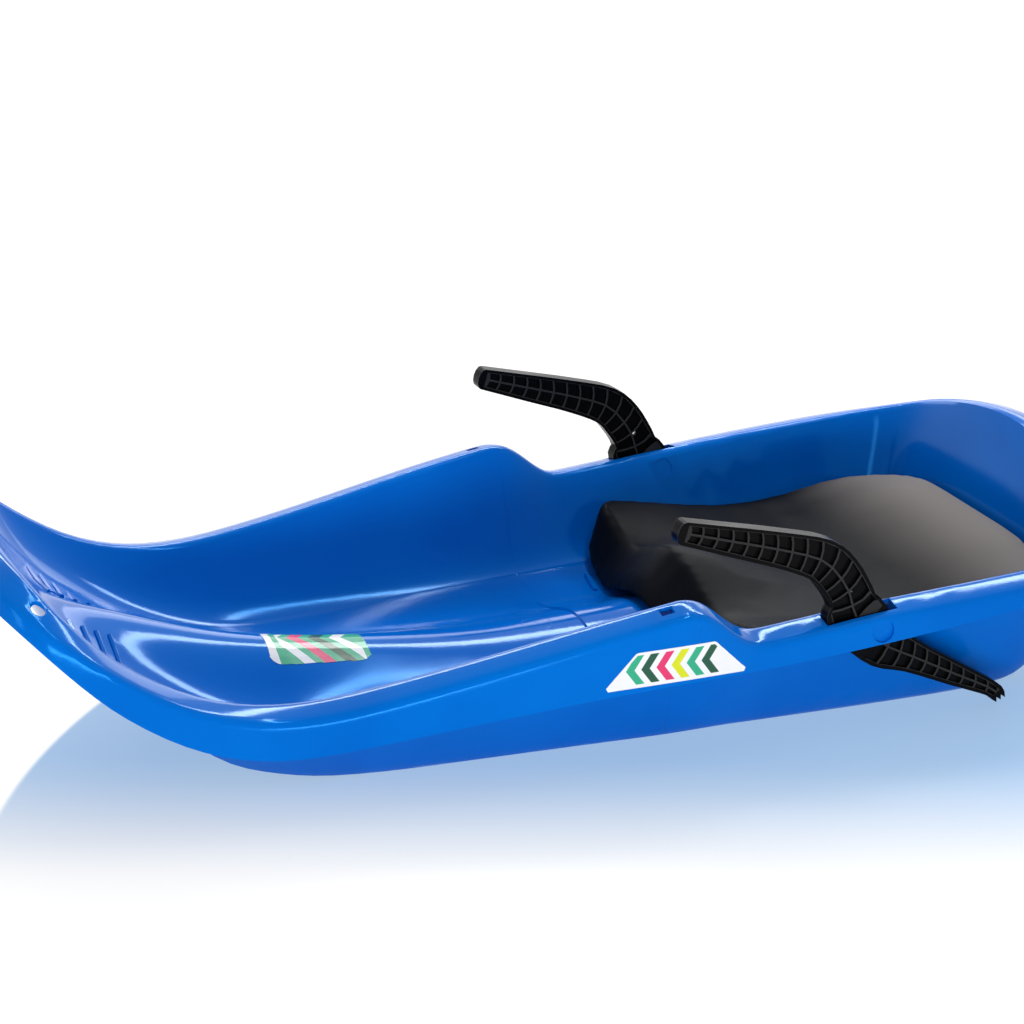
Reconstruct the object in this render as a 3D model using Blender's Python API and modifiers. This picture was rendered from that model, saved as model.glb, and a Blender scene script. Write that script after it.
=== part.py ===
"""Child's plastic bobsled with two hand brakes, modelled in metres.

+X points to the nose, +Y to the rider's left and +Z up. The origin is on the
ground under the middle of the sled. The tub is one injection moulding: foot
channels either side of a raised spine, leaning walls, a flat rim, a skirt
that hangs from the rim, and two runners under the floor. Each brake is a
ribbed lever on a steel pin, hung in bearing blocks between wall and skirt.
"""
import math

import bmesh
import bpy
from mathutils import Matrix, Vector

# Clearances
SEATING_GAP = 0.0003
PIN_CLEARANCE = 0.0003

# Tub: plan of the inner edge of the rim
NOSE_X = 0.428
TAIL_X = -0.428
NOSE_CORNER = 0.060
TAIL_CORNER = 0.078
NOSE_BOW = 0.008
TAIL_BOW = 0.004
REAR_HALF_WIDTH = 0.1855
STEP_HALF_WIDTH = 0.1790
NOSE_HALF_WIDTH = 0.1520

# Tub: height of the rim from tail to nose
REAR_RIM_Z = 0.108
SLOT_RIM_Z = 0.0972
STEP_FOOT_X = -0.099
STEP_FOOT_Z = 0.0905
STEP_TOP_X = -0.047
STEP_TOP_Z = 0.1218
VALLEY_X = 0.232
VALLEY_Z = 0.0833
TAIL_ARCH = 0.047
ARCH_LENGTH = 0.12
RIM_FAN = 0.045

# Tub: sections of the moulding
WALL = 0.003
RIM_FLAT = 0.0135
RIM_TILT = math.radians(14)
SHOULDER_RADIUS = 0.007
INNER_RADIUS = 0.008
SKIRT_FLARE = 0.002
SKIRT_NOSE_DEPTH = 0.032
SKIRT_TIP_DEPTH = 0.016
SKIRT_TIP_LENGTH = 0.060
SKIRT_TIP_INSET = 0.013
SKIRT_VALLEY_Z = 0.0515
SKIRT_STEP_Z = 0.0675
SKIRT_SLOT_Z = 0.0700
SKIRT_REAR_Z = 0.0860
SKIRT_ARCH_SHARE = 0.75
FLOOR_Z = 0.021
FLOOR_REAR_INSET = 0.027
FLOOR_FRONT_INSET = 0.037
FLOOR_NARROWING = (-0.22, 0.06)
FLOOR_TAIL_X = TAIL_X + 0.043
FLOOR_NOSE_X = NOSE_X - 0.026
FLOOR_CORNER = 0.047
FILLET = 0.024
NOSE_START_X = 0.164
NOSE_RISE = 0.1382
NOSE_RUN = FLOOR_NOSE_X - NOSE_START_X
NOSE_RADIUS = (NOSE_RUN ** 2 + NOSE_RISE ** 2) / (2 * NOSE_RISE)
NOSE_RIM_Z = FLOOR_Z + NOSE_RISE + 0.0448
SPINE_HALF_WIDTH = 0.078
SPINE_HEIGHT = 0.0200
SPINE_NOSE_HEIGHT = 0.0405
SPINE_TAIL_X = -0.155
SPINE_CREST_X = 0.235
SPINE_TIP_X = FLOOR_NOSE_X - 0.014
PLATFORM_X = -0.040
PLATFORM_RAMP = 0.0015
PLATFORM_SHARE = 0.07
RUNNER_WIDTH = 0.013
RUNNER_DEPTH = 0.018
RUNNER_CHAMFER = 0.003
RUNNER_FRONT_X = 0.275
RUNNER_REAR_X = TAIL_X + 0.056
RUNNER_FADE = 0.050

# Foot ribs on the rising floor, and holes in the rim
FOOT_RIB_COUNT = 4
FOOT_RIB_FIRST_X = 0.334
FOOT_RIB_PITCH = 0.0095
FOOT_RIB_INNER_Y = 0.030
FOOT_RIB_OUTER_Y = 0.102
FOOT_RIB_RADIUS = 0.002
TOW_HOLE_RADIUS = 0.005
TOW_HOLE_ANGLE = math.radians(45)
RIM_WINDOW_X = -0.028
RIM_WINDOW_LENGTH = 0.010
RIM_WINDOW_WIDTH = 0.008

# Brake levers, drawn round their pivot in the plane of the lever
PIVOT_X = -0.194
PIVOT_Z = 0.083
SLOT_FRONT_X = PIVOT_X + 0.0414
SLOT_REAR_X = PIVOT_X - 0.0159
SLOT_WIDTH = 0.0135
LEVER_THICKNESS = 0.0112
LEVER_WALL = 0.0022
LEVER_WEB = 0.003
LEVER_RIB = 0.0016
LEVER_RIB_PITCH = 0.0120
LEVER_RIB_BOW = 0.0034
LEVER_RIB_SWEEP = 0.0026
LEVER_SWEEP_RIBS = 8
LEVER_RIB_DROP = 0.0012
LEVER_LEDGE = 0.0007
GRIP_CAP_SHARE = 0.5
TOOTH_COUNT = 3
TOOTH_LENGTH = 0.0045
TOOTH_GULLET = 0.0005
HUB_RADIUS = 0.0095
DIMPLE_RADIUS = 0.0088
DIMPLE_DEPTH = 0.0009
PIN_RADIUS = 0.003
PIN_LENGTH = 0.021
BLOCK_HALF_LENGTH = 0.009
BLOCK_DEPTH = 0.008
BLOCK_THROAT = 0.0052
BLOCK_LET_IN = 0.6 * WALL
THROAT_MARGIN = 0.0002
SIGHT_HOLE_RADIUS = 0.0018
SIGHT_HOLE_X = 0.0200
SIGHT_HOLE_Z = 0.0300

# Seat
SEAT_FRONT_X = -0.119
SEAT_REAR_X = TAIL_X + 0.035
SEAT_TOE_X = SEAT_FRONT_X + 0.028
SEAT_HEEL_X = SEAT_REAR_X + 0.035
SEAT_TOE_BOW = 0.014
SEAT_FRONT_BOW = 0.003
SEAT_WAIST_BOW = 0.010
SEAT_HALF_WIDTH = 0.154
SEAT_FOOT_HALF_WIDTH = 0.1225
SEAT_WAIST_HALF_WIDTH = 0.147
SEAT_FRONT_CORNER = 0.014
SEAT_REAR_CORNER = 0.055
SEAT_POMMEL_Z = 0.088
SEAT_THIGH_Z = 0.060
SEAT_THIGH_SHARE = 0.53
SEAT_CORNER_Z = 0.0755
SEAT_MIDDLE_Z = 0.044
SEAT_EDGE_Z = 0.052
SEAT_BACK_Z = 0.083
SEAT_BACK_CORNER_Z = 0.066
SEAT_EDGE_ROUND = 0.004
SEAT_WAIST_HEIGHT = 0.012
SEAT_REAR_FAN = (0.050, 0.075)
SEAT_FRONT_FAN = (0.035, 0.060)
SEAT_NOTCH_GAP = 0.005
SEAT_NOTCH_HALF_WIDTH = 0.086
SEAT_RIB_INNER_Y = 0.083
SEAT_RIB_OUTER_Y = 0.118
SEAT_RIB_SPACE = 0.004
SEAT_RIB_RADIUS = 0.0018

# Seat screws, driven up through the floor
SCREW_FRONT_X = SEAT_FRONT_X - 0.066
SCREW_REAR_X = SEAT_REAR_X + 0.063
SCREW_Y = 0.095
SCREW_RADIUS = 0.0022
SCREW_LENGTH = 0.014
SCREW_HEAD_RADIUS = 0.0045
SCREW_HEAD_HEIGHT = 0.0022
WASHER_RADIUS = 0.007
WASHER_THICKNESS = 0.001

BLUE = (0.0, 0.135, 0.62, 1.0)
BLACK = (0.012, 0.012, 0.013, 1.0)
SEAT_GREY = (0.045, 0.042, 0.040, 1.0)
STEEL = (0.55, 0.55, 0.56, 1.0)


def hermite(knots, x):
    """Cubic through knots of (x, value, slope), straight past either end."""
    first, last = knots[0], knots[-1]
    if x <= first[0]:
        return first[1] + first[2] * (x - first[0])
    if x >= last[0]:
        return last[1] + last[2] * (x - last[0])
    for (x0, v0, s0), (x1, v1, s1) in zip(knots, knots[1:]):
        if x <= x1:
            h = x1 - x0
            t = (x - x0) / h
            return (v0 * (1 + 2 * t) * (1 - t) ** 2 + s0 * h * t * (1 - t) ** 2
                    + v1 * t * t * (3 - 2 * t) - s1 * h * t * t * (1 - t))
    return last[1]


def lerp(a, b, t):
    return a + (b - a) * t


def smooth(a, b, x):
    """Rises from 0 at a to 1 at b, level at both ends."""
    t = min(1.0, max(0.0, (x - a) / (b - a)))
    return t * t * (3 - 2 * t)


def bump(ratio):
    """A round crest: 1 at the middle, 0 from a ratio of 1 outwards."""
    return math.cos(math.pi / 2 * min(1.0, abs(ratio))) ** 2


# Curves of the tub


def half_width(x):
    """Inner edge of the rim, from the middle plane."""
    return hermite((
        (TAIL_X, REAR_HALF_WIDTH - 0.001, 0.010),
        (TAIL_X + ARCH_LENGTH, REAR_HALF_WIDTH, 0.0),
        (SLOT_FRONT_X, lerp(REAR_HALF_WIDTH, STEP_HALF_WIDTH, 0.85), -0.020),
        (STEP_TOP_X, STEP_HALF_WIDTH, -0.015),
        (VALLEY_X - 0.085, lerp(STEP_HALF_WIDTH, NOSE_HALF_WIDTH, 0.44), -0.075),
        (VALLEY_X + 0.035, lerp(STEP_HALF_WIDTH, NOSE_HALF_WIDTH, 0.68), -0.050),
        (NOSE_X, NOSE_HALF_WIDTH, -0.050)), x)


def floor_half_width(x):
    """Foot of the side wall; the floor narrows towards the nose more than the rim."""
    inset = lerp(FLOOR_REAR_INSET, FLOOR_FRONT_INSET, smooth(*FLOOR_NARROWING, x))
    return half_width(x) - inset


def rim_side_z(x):
    return hermite((
        (TAIL_X, REAR_RIM_Z, -0.030),
        (PIVOT_X, SLOT_RIM_Z, -0.055),
        (STEP_FOOT_X, STEP_FOOT_Z, -0.010),
        (STEP_TOP_X, STEP_TOP_Z, 0.0),
        (STEP_TOP_X + 0.040, STEP_TOP_Z - 0.0045, -0.155),
        (VALLEY_X - 0.085, VALLEY_Z + 0.0085, -0.150),
        (VALLEY_X, VALLEY_Z, 0.0),
        (lerp(VALLEY_X, NOSE_X, 0.38), lerp(VALLEY_Z, NOSE_RIM_Z, 0.125), 0.44),
        (lerp(VALLEY_X, NOSE_X, 0.70), lerp(VALLEY_Z, NOSE_RIM_Z, 0.475), 0.90),
        (NOSE_X, NOSE_RIM_Z, 1.12)), x)


def skirt_side_z(x):
    """Lower edge of the skirt: its own line at the rear, a set depth at the nose."""
    own = hermite((
        (TAIL_X, SKIRT_REAR_Z + 0.006, -0.060),
        (TAIL_X + ARCH_LENGTH + 0.008, SKIRT_REAR_Z - 0.002, -0.110),
        (PIVOT_X, SKIRT_SLOT_Z + 0.003, -0.080),
        (STEP_TOP_X, SKIRT_STEP_Z, 0.0),
        (VALLEY_X - 0.06, SKIRT_VALLEY_Z + 0.003, -0.070),
        (VALLEY_X, SKIRT_VALLEY_Z, 0.0)), x)
    if x < VALLEY_X:
        return own
    tip = NOSE_X - SKIRT_TIP_INSET
    return rim_side_z(x) - lerp(SKIRT_NOSE_DEPTH, SKIRT_TIP_DEPTH, smooth(tip - SKIRT_TIP_LENGTH, tip, x))


def arch(x, y):
    """The rim climbs over the backrest: nothing at the sides, all in the middle."""
    if x > TAIL_X + ARCH_LENGTH:
        return 0.0
    return TAIL_ARCH * math.cos(math.pi / 2 * min(1.0, abs(y) / half_width(x)))


def spine_height(x):
    return hermite((
        (SPINE_TAIL_X, 0.0, 0.0),
        (SPINE_TAIL_X + 0.037, SPINE_HEIGHT, 0.0),
        (PLATFORM_X + 0.050, SPINE_HEIGHT, 0.0),
        (SPINE_CREST_X - 0.115, lerp(SPINE_HEIGHT, SPINE_NOSE_HEIGHT, 0.45), 0.13),
        (SPINE_CREST_X, SPINE_NOSE_HEIGHT, 0.0),
        (lerp(SPINE_CREST_X, SPINE_TIP_X, 0.59), 0.72 * SPINE_NOSE_HEIGHT, -0.35),
        (SPINE_TIP_X, 0.0, -0.12),
        (SPINE_TIP_X + 0.012, 0.0, 0.0)), x)


def floor_z(x, y, below=0.0):
    """Height of the floor: flat, then an arc up to the nose, with the spine on it.

    Behind its step the spine is a little higher and wider, a platform for the seat.
    below moves the surface down square to the arc, for the underside.
    """
    radius = NOSE_RADIUS + below
    run = min(max(0.0, x - NOSE_START_X), 0.97 * radius)
    level = FLOOR_Z + NOSE_RADIUS - math.sqrt(radius * radius - run * run)
    more = 1 + PLATFORM_SHARE * (1 - smooth(PLATFORM_X - PLATFORM_RAMP, PLATFORM_X, x))
    return level + more * spine_height(x) * bump(y / more / SPINE_HALF_WIDTH)


def half_outline(tail_x, nose_x, width, tail_corner, nose_corner, tail_bow, nose_bow,
                 side_counts):
    """Left half of a plan outline, from the middle of the tail to that of the nose."""
    points = []
    tail_y = width(tail_x + tail_corner) - tail_corner
    lean = math.atan2(2 * tail_bow, tail_y)
    start_x = tail_x + tail_bow + tail_corner
    for i in range(3):
        y = tail_y * i / 3
        points.append((tail_x + tail_bow * (y / tail_y) ** 2, y))
    for i in range(7):
        angle = lerp(math.pi - lean, math.pi / 2, i / 6)
        points.append((start_x + tail_corner * math.cos(angle),
                       tail_y + tail_corner * math.sin(angle)))
    end_x = nose_x - nose_bow - nose_corner
    marks = (start_x, STEP_FOOT_X - 0.012, PLATFORM_X - PLATFORM_RAMP, PLATFORM_X,
             VALLEY_X - 0.03, end_x)
    for a, b, count in zip(marks, marks[1:], side_counts):
        for i in range(1, count + 1):
            x = lerp(a, b, i / count)
            points.append((x, width(x)))
    nose_y = width(end_x) - nose_corner
    lean = math.atan2(2 * nose_bow, nose_y)
    for i in range(1, 7):
        angle = lerp(math.pi / 2, lean, i / 6)
        points.append((end_x + nose_corner * math.cos(angle),
                       nose_y + nose_corner * math.sin(angle)))
    for i in (2, 1, 0):
        y = nose_y * i / 3
        points.append((nose_x - nose_bow * (y / nose_y) ** 2, y))
    return points


def outward(points, i):
    """Unit normal of a half outline at point i, square to the middle plane at its ends."""
    if i == 0:
        return Vector((-1.0, 0.0))
    if i == len(points) - 1:
        return Vector((1.0, 0.0))
    along = Vector(points[i + 1]) - Vector(points[i - 1])
    return Vector((-along.y, along.x)).normalized()


SIDE_COUNTS = (7, 7, 1, 6, 6)
FLOOR_SHARES = (0.25, 0.45, 0.60, 0.72, 0.86, 1.0)
WALL_TOP_ANGLE = 161


def tub_sections():
    """Two open sections for each station: the upper face, and the face beneath it."""
    rim = half_outline(TAIL_X, NOSE_X, half_width, TAIL_CORNER, NOSE_CORNER,
                       TAIL_BOW, NOSE_BOW, SIDE_COUNTS)
    foot = half_outline(FLOOR_TAIL_X, FLOOR_NOSE_X, floor_half_width,
                        FLOOR_CORNER, FLOOR_CORNER, TAIL_BOW, NOSE_BOW, SIDE_COUNTS)
    ends = 9
    last = len(rim) - 1
    uppers, lowers = [], []
    for i, (inner, corner) in enumerate(zip(rim, foot)):
        normal = outward(rim, i)
        if i < ends:
            middle = lerp(FLOOR_TAIL_X + RIM_FAN, foot[ends][0], i / ends)
        elif i > last - ends:
            middle = lerp(FLOOR_NOSE_X - RIM_FAN, foot[last - ends][0], (last - i) / ends)
        else:
            middle = corner[0]
        rim_z = rim_side_z(inner[0]) + arch(*inner)
        skirt_z = skirt_side_z(inner[0]) + SKIRT_ARCH_SHARE * arch(*inner)
        uppers.append(upper_section(inner, normal, corner, middle, rim_z, skirt_z))
        lowers.append(lower_section(inner, normal, corner, middle, rim_z, skirt_z))
    return uppers, lowers


def rim_section(inner, normal, rim_z, skirt_z, inset, shoulder, crest):
    """Skirt, shoulder, tilted rim and its inner edge, as one face or the face beneath it.

    inset is the depth below the outer face; shoulder and crest are angles in degrees.
    """
    def at(offset, z):
        return Vector((inner[0] + normal.x * offset, inner[1] + normal.y * offset, z))

    edge = RIM_FLAT + SHOULDER_RADIUS
    section = [at(edge + SKIRT_FLARE - inset, skirt_z)]
    shoulder_z = rim_z - RIM_FLAT * math.tan(RIM_TILT) - SHOULDER_RADIUS
    for degrees in shoulder:
        angle = math.radians(degrees)
        section.append(at(RIM_FLAT + (SHOULDER_RADIUS - inset) * math.cos(angle),
                          shoulder_z + (SHOULDER_RADIUS - inset) * math.sin(angle)))
    for degrees in crest:
        angle = math.radians(degrees)
        section.append(at((INNER_RADIUS - inset) * math.cos(angle),
                          rim_z - INNER_RADIUS + (INNER_RADIUS - inset) * math.sin(angle)))
    return section


def upper_section(inner, normal, corner, middle, rim_z, skirt_z):
    """Skirt edge, shoulder, rim, wall, fillet and floor, down to the middle plane."""
    section = rim_section(inner, normal, rim_z, skirt_z, 0.0, (0, 30, 55, 76),
                          (76, 100, 130, WALL_TOP_ANGLE))
    top = section[-1]
    bend = Vector((corner[0], corner[1], floor_z(*corner)))
    down = top - bend
    start = bend + down * min(0.55, FILLET / down.length)
    inward = Vector((middle, 0.0)) - Vector(corner)
    end_xy = Vector(corner) + inward * min(0.7, FILLET / inward.length)
    end = Vector((end_xy.x, end_xy.y, floor_z(end_xy.x, end_xy.y)))
    section.append(start)
    for share in (0.33, 0.67):
        section.append(start.lerp(bend, share).lerp(bend.lerp(end, share), share))
    section.append(end)
    for share in FLOOR_SHARES:
        x, y = lerp(end.x, middle, share), lerp(end.y, 0.0, share)
        section.append(Vector((x, y, floor_z(x, y))))
    return section


def lower_section(inner, normal, corner, middle, rim_z, skirt_z):
    """Inside of the skirt, under the rim, outside of the wall, runner and underside."""
    section = rim_section(inner, normal, rim_z, skirt_z, WALL, (0, 38, 76),
                          (76, 118, WALL_TOP_ANGLE))
    top = section[-1]
    inward = (Vector((middle, 0.0)) - Vector(corner)).normalized()
    foot = Vector(corner) - inward * 1.05 * WALL
    level = floor_z(foot.x, foot.y, WALL)

    def on_wall(z):
        share = (z - level) / (top.z - level)
        return Vector((lerp(foot.x, top.x, share), lerp(foot.y, top.y, share), z))

    reach = (smooth(RUNNER_REAR_X, RUNNER_REAR_X + RUNNER_FADE, foot.x)
             * (1 - smooth(RUNNER_FRONT_X, RUNNER_FRONT_X + RUNNER_FADE, foot.x)))
    bottom = floor_z(foot.x, foot.y, WALL + RUNNER_DEPTH * reach)
    section.append(on_wall(level + min(0.010, 0.5 * (top.z - level))))
    edge = on_wall(bottom + RUNNER_CHAMFER)
    section.append(edge)

    def under(distance, z_drop):
        x = edge.x + inward.x * distance
        y = edge.y + inward.y * distance
        return Vector((x, y, floor_z(x, y, WALL + z_drop)))

    section.append(under(RUNNER_CHAMFER, RUNNER_DEPTH * reach))
    section.append(under(RUNNER_WIDTH, RUNNER_DEPTH * reach))
    section.append(under(RUNNER_WIDTH + RUNNER_CHAMFER, 0.0))
    end = section[-1]
    for share in FLOOR_SHARES:
        x, y = lerp(end.x, middle, share), lerp(end.y, 0.0, share)
        section.append(Vector((x, y, floor_z(x, y, WALL))))
    return section


# Building blocks


def link(name, mesh, collection, material=None):
    thing = bpy.data.objects.new(name, mesh)
    collection.objects.link(thing)
    if material:
        mesh.materials.clear()
        mesh.materials.append(material)
    return thing


def make_material(name, colour, roughness, metallic):
    material = bpy.data.materials.new(name)
    material.use_nodes = True
    shader = material.node_tree.nodes["Principled BSDF"]
    shader.inputs["Base Color"].default_value = colour
    shader.inputs["Roughness"].default_value = roughness
    shader.inputs["Metallic"].default_value = metallic
    material.diffuse_color = colour
    return material


def grid_faces(bm, rows, flip):
    """Quads between rows of vertices that hold the same number of points."""
    for row, following in zip(rows, rows[1:]):
        for k in range(len(row) - 1):
            quad = [row[k], row[k + 1], following[k + 1], following[k]]
            if flip:
                quad.reverse()
            bm.faces.new(quad)


def mirrored(thing):
    mirror = thing.modifiers.new("Other half", "MIRROR")
    mirror.use_axis = (False, True, False)
    mirror.merge_threshold = 0.0001
    return mirror


def boolean(thing, tool, operation):
    cut = thing.modifiers.new(tool.name, "BOOLEAN")
    cut.operation = operation
    cut.solver = "EXACT"
    cut.object = tool
    return cut


def as_tool(thing):
    thing.hide_render = True
    thing.display_type = "WIRE"
    return thing


def box_mesh(name, low, high):
    bm = bmesh.new()
    bmesh.ops.create_cube(bm, size=1.0)
    low, high = Vector(low), Vector(high)
    size = high - low
    bmesh.ops.scale(bm, vec=size, verts=bm.verts)
    bmesh.ops.translate(bm, vec=(low + high) / 2, verts=bm.verts)
    mesh = bpy.data.meshes.new(name)
    bm.to_mesh(mesh)
    bm.free()
    return mesh


def prism_mesh(name, start_x, end_x, profile):
    """A solid with the same (y, z) profile from start_x to end_x."""
    bm = bmesh.new()
    start = [bm.verts.new((start_x, y, z)) for y, z in profile]
    end = [bm.verts.new((end_x, y, z)) for y, z in profile]
    bm.faces.new(start)
    bm.faces.new(end)
    count = len(profile)
    for i in range(count):
        j = (i + 1) % count
        bm.faces.new((start[i], start[j], end[j], end[i]))
    bmesh.ops.recalc_face_normals(bm, faces=bm.faces)
    mesh = bpy.data.meshes.new(name)
    bm.to_mesh(mesh)
    bm.free()
    return mesh


def rod_mesh(name, radius, start, end, sides=24):
    """A cylinder between two points."""
    start, end = Vector(start), Vector(end)
    axis = end - start
    bm = bmesh.new()
    bmesh.ops.create_cone(bm, cap_ends=True, segments=sides, radius1=radius,
                          radius2=radius, depth=axis.length)
    turn = axis.to_track_quat("Z", "Y").to_matrix().to_4x4()
    bmesh.ops.transform(bm, matrix=Matrix.Translation((start + end) / 2) @ turn,
                        verts=bm.verts)
    mesh = bpy.data.meshes.new(name)
    bm.to_mesh(mesh)
    bm.free()
    return mesh


def join_meshes(name, meshes):
    bm = bmesh.new()
    for mesh in meshes:
        bm.from_mesh(mesh)
        bpy.data.meshes.remove(mesh)
    joined = bpy.data.meshes.new(name)
    bm.to_mesh(joined)
    bm.free()
    return joined


def tube_mesh(name, points, radius):
    """A wire through points as a closed mesh."""
    curve = bpy.data.curves.new(name, "CURVE")
    curve.dimensions = "3D"
    curve.bevel_depth = radius
    curve.bevel_resolution = 1
    curve.use_fill_caps = True
    spline = curve.splines.new("POLY")
    spline.points.add(len(points) - 1)
    for spot, point in zip(spline.points, points):
        spot.co = (*point, 1.0)
    return mesh_of_curve(name, curve)


def plate_mesh(name, outlines, low_y, high_y):
    """Flat outlines in the XZ plane, given as (x, z), made thick from low_y to high_y."""
    curve = bpy.data.curves.new(name, "CURVE")
    curve.dimensions = "2D"
    curve.fill_mode = "BOTH"
    curve.extrude = (high_y - low_y) / 2
    for outline in outlines:
        spline = curve.splines.new("POLY")
        spline.points.add(len(outline) - 1)
        for spot, (x, z) in zip(spline.points, outline):
            spot.co = (x, z, 0.0, 1.0)
        spline.use_cyclic_u = True
    mesh = mesh_of_curve(name, curve)
    upright = Matrix.Rotation(math.pi / 2, 4, "X")
    mesh.transform(Matrix.Translation((0.0, (low_y + high_y) / 2, 0.0)) @ upright)
    return mesh


def mesh_of_curve(name, curve):
    holder = bpy.data.objects.new(name, curve)
    bpy.context.scene.collection.objects.link(holder)
    bpy.context.view_layer.update()
    evaluated = holder.evaluated_get(bpy.context.evaluated_depsgraph_get())
    mesh = bpy.data.meshes.new_from_object(evaluated)
    bpy.data.objects.remove(holder)
    bpy.data.curves.remove(curve)
    bm = bmesh.new()
    bm.from_mesh(mesh)
    bmesh.ops.remove_doubles(bm, verts=bm.verts, dist=0.00002)
    bmesh.ops.dissolve_limit(bm, angle_limit=math.radians(0.5), verts=bm.verts, edges=bm.edges)
    bmesh.ops.recalc_face_normals(bm, faces=bm.faces)
    bm.to_mesh(mesh)
    bm.free()
    return mesh


def both_sides(mesh):
    """A mesh joined with its mirror image across the middle plane."""
    other = mesh.copy()
    other.transform(Matrix.Scale(-1.0, 4, (0.0, 1.0, 0.0)))
    other.flip_normals()
    return join_meshes(mesh.name, [mesh, other])


def shade(mesh, degrees):
    mesh.shade_smooth()
    mesh.set_sharp_from_angle(angle=math.radians(degrees))


# Pieces


def slot_middle_y():
    return half_width((SLOT_FRONT_X + SLOT_REAR_X) / 2) + SLOT_WIDTH / 2


def make_hull(parts, tools, material):
    """Half of the moulding as a closed loft, mirrored, then cut and joined."""
    uppers, lowers = tub_sections()
    bm = bmesh.new()
    upper_rows = [[bm.verts.new(p) for p in section] for section in uppers]
    lower_rows = [[bm.verts.new(p) for p in section] for section in lowers]
    grid_faces(bm, upper_rows, flip=True)
    grid_faces(bm, lower_rows, flip=False)
    edges = [[upper[0], lower[0]] for upper, lower in zip(upper_rows, lower_rows)]
    grid_faces(bm, edges, flip=False)
    mesh = bpy.data.meshes.new("hull")
    bm.to_mesh(mesh)
    bm.free()
    shade(mesh, 40)
    hull = link("hull", mesh, parts, material)
    mirrored(hull)

    blocks = as_tool(link("bearing_blocks", bearing_blocks(), tools))
    boolean(hull, blocks, "UNION")
    ribs = as_tool(link("foot_ribs", foot_ribs(), tools))
    boolean(hull, ribs, "UNION")
    cuts = as_tool(link("hull_cuts", hull_cuts(), tools))
    boolean(hull, cuts, "DIFFERENCE")
    return hull


def wall_y(x, z):
    """Upper face of the side wall at a height, between its fillet and its rim."""
    angle = math.radians(WALL_TOP_ANGLE)
    top_y = half_width(x) + INNER_RADIUS * math.cos(angle)
    top_z = rim_side_z(x) - INNER_RADIUS * (1 - math.sin(angle))
    return lerp(floor_half_width(x), top_y, (z - FLOOR_Z) / (top_z - FLOOR_Z))


def bearing_blocks():
    """Blocks under the rim, either side of each lever, that hold the pin.

    Their outer ends are let into wall and skirt, and their tops into the rim.
    """
    middle = slot_middle_y()
    room = LEVER_THICKNESS / 2 + 0.6 * (SLOT_WIDTH - LEVER_THICKNESS) / 2
    low_z = PIVOT_Z - BLOCK_DEPTH
    crest_z = SLOT_RIM_Z - WALL / 2
    wall_z = SLOT_RIM_Z - INNER_RADIUS
    drop = (SLOT_WIDTH + LEVER_THICKNESS) / 2 * math.tan(RIM_TILT)
    skirt_y = half_width(PIVOT_X) + RIM_FLAT + SHOULDER_RADIUS - BLOCK_LET_IN
    inner = ((wall_y(PIVOT_X, low_z) + BLOCK_LET_IN, low_z), (middle - room, low_z),
             (middle - room, crest_z), (wall_y(PIVOT_X, wall_z) + BLOCK_LET_IN, wall_z))
    outer = ((middle + room, low_z), (skirt_y, low_z),
             (skirt_y, crest_z - drop - 0.5 * SHOULDER_RADIUS), (middle + room, crest_z - drop))
    meshes = [prism_mesh("block", PIVOT_X - BLOCK_HALF_LENGTH, PIVOT_X + BLOCK_HALF_LENGTH, side)
              for side in (inner, outer)]
    return both_sides(join_meshes("bearing_blocks", meshes))


def foot_ribs():
    """Short ribs across the rising floor, and one on each side that locates the seat."""
    meshes = []
    points = []
    for k in range(7):
        y = lerp(SEAT_RIB_INNER_Y, SEAT_RIB_OUTER_Y, k / 6)
        x = SEAT_TOE_X + SEAT_RIB_SPACE - SEAT_TOE_BOW * (y / SEAT_RIB_OUTER_Y) ** 2
        points.append((x, y, floor_z(x, y) + SEAT_RIB_RADIUS / 2))
    meshes.append(tube_mesh("seat_rib", points, SEAT_RIB_RADIUS))
    for i in range(FOOT_RIB_COUNT):
        x = FOOT_RIB_FIRST_X + i * FOOT_RIB_PITCH
        points = []
        for k in range(5):
            y = lerp(FOOT_RIB_INNER_Y, FOOT_RIB_OUTER_Y, k / 4)
            points.append((x, y, floor_z(x, y)))
        meshes.append(tube_mesh("foot_rib", points, FOOT_RIB_RADIUS))
    return both_sides(join_meshes("foot_ribs", meshes))


def tow_hole_place():
    """On the flat of the rim, half way round the nose corner."""
    reach = NOSE_CORNER + RIM_FLAT / 2
    x = NOSE_X - NOSE_BOW - NOSE_CORNER
    y = half_width(x) - NOSE_CORNER
    return x + reach * math.cos(TOW_HOLE_ANGLE), y + reach * math.sin(TOW_HOLE_ANGLE)


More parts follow.
